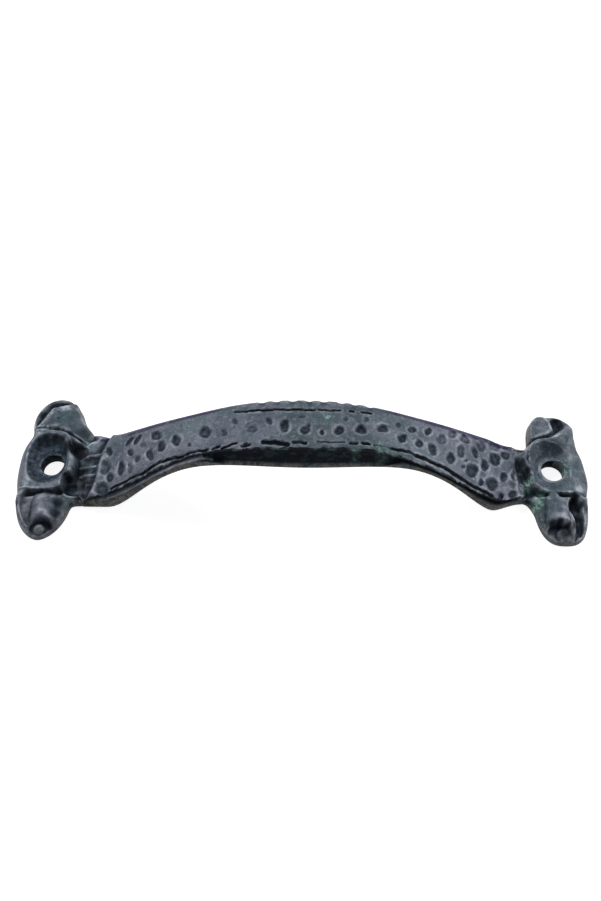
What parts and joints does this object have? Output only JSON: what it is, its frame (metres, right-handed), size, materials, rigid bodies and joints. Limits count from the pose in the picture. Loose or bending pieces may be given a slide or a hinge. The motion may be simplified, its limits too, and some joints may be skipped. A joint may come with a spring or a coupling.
{
  "type": "drawer pull",
  "caption": "Arched cast drawer pull with a hammered bar, chiselled border lines, scrolled feet and screw holes.",
  "frame": {"origin": "midway between the two screw holes, in the plane of the flat backs of the feet", "axes": "+X along the bar, +Y across it, +Z out from the drawer front along the screw holes"},
  "size_m": [0.1097, 0.0311, 0.018],
  "materials": {
    "pull": "blackened, satin, with green patina in the hollows"
  },
  "bodies": {
    "root": {"pull": "pull"}
  },
  "joints": []
}
